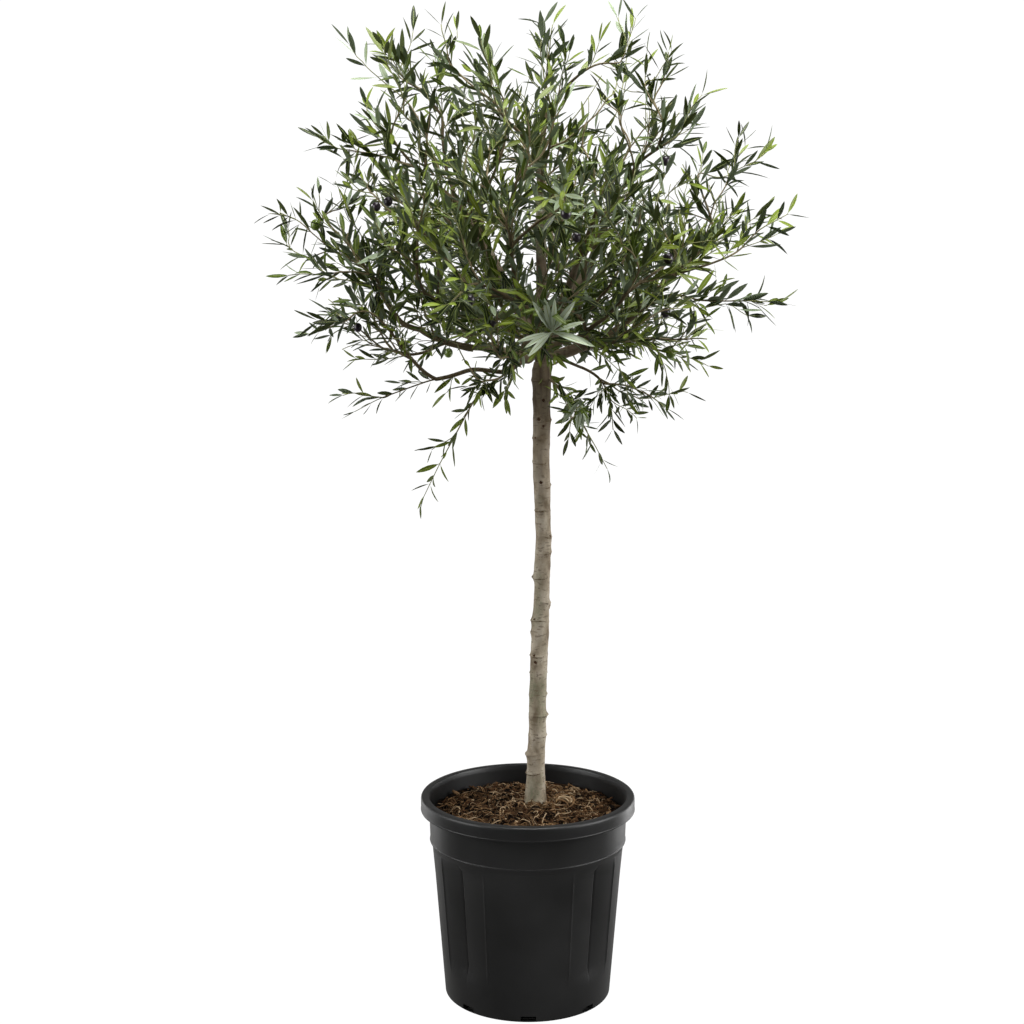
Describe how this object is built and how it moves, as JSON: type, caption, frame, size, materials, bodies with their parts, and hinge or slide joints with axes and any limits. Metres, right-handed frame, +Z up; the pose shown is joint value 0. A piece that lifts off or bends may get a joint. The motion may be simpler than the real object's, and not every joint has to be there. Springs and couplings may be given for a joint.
{
  "type": "potted olive tree",
  "caption": "Young olive grown as a half-standard: slender bare stem, uneven open globe of narrow grey-green leaves, in a fluted black nursery pot.",
  "frame": {"origin": "centre of the flat underside of the pot", "axes": "+Z up along the stem, -Y the front, +X to the right seen from the front"},
  "size_m": [0.974, 0.9329, 1.8136],
  "materials": {
    "pot_plastic": "satin charcoal moulded plastic",
    "potting_mix": "rough fibrous bark and coir",
    "bark": "matte grey-beige bark",
    "leaves": "waxy narrow leaves, dark above and silvery below"
  },
  "bodies": {
    "root": {"pot": "pot_plastic", "soil": "potting_mix", "trunk": "bark", "bough_left": "bark", "bough_right": "bark", "bough_right_upper": "bark", "bough_left_upper": "bark", "bough_leader": "bark", "bough_front": "bark", "bough_front_right": "bark", "bough_back": "bark", "bough_back_left": "bark", "foliage_low_left": "leaves", "foliage_low_front": "leaves", "foliage_low_right": "leaves", "foliage_low_back_right": "leaves", "foliage_low_back_left": "leaves", "foliage_mid_left": "leaves", "foliage_mid_front_left": "leaves", "foliage_mid_front_right": "leaves", "foliage_mid_right": "leaves", "foliage_mid_back": "leaves", "foliage_top_left": "leaves", "foliage_top_front": "leaves", "foliage_top_right": "leaves", "foliage_under_left": "leaves", "foliage_under_right": "leaves", "foliage_top_back": "leaves", "spray_left_high": "leaves", "spray_left": "leaves", "spray_left_low": "leaves", "spray_left_under": "leaves", "spray_left_hanging": "leaves", "spray_left_weeping": "leaves", "spray_right_high": "leaves", "spray_right_upper": "leaves", "spray_right_shoulder": "leaves", "spray_right_low": "leaves", "spray_right_under": "leaves", "spray_back_weeping": "leaves", "spray_top_left_outer": "leaves", "spray_top_left": "leaves", "spray_top_left_inner": "leaves", "spray_top_front": "leaves", "spray_top_middle": "leaves", "spray_top_right": "leaves", "spray_top_right_wing": "leaves", "spray_front_low": "leaves", "spray_front": "leaves", "spray_front_right": "leaves", "spray_back": "leaves", "spray_back_low": "leaves", "spray_back_left": "leaves", "spray_back_right": "leaves"}
  },
  "joints": []
}
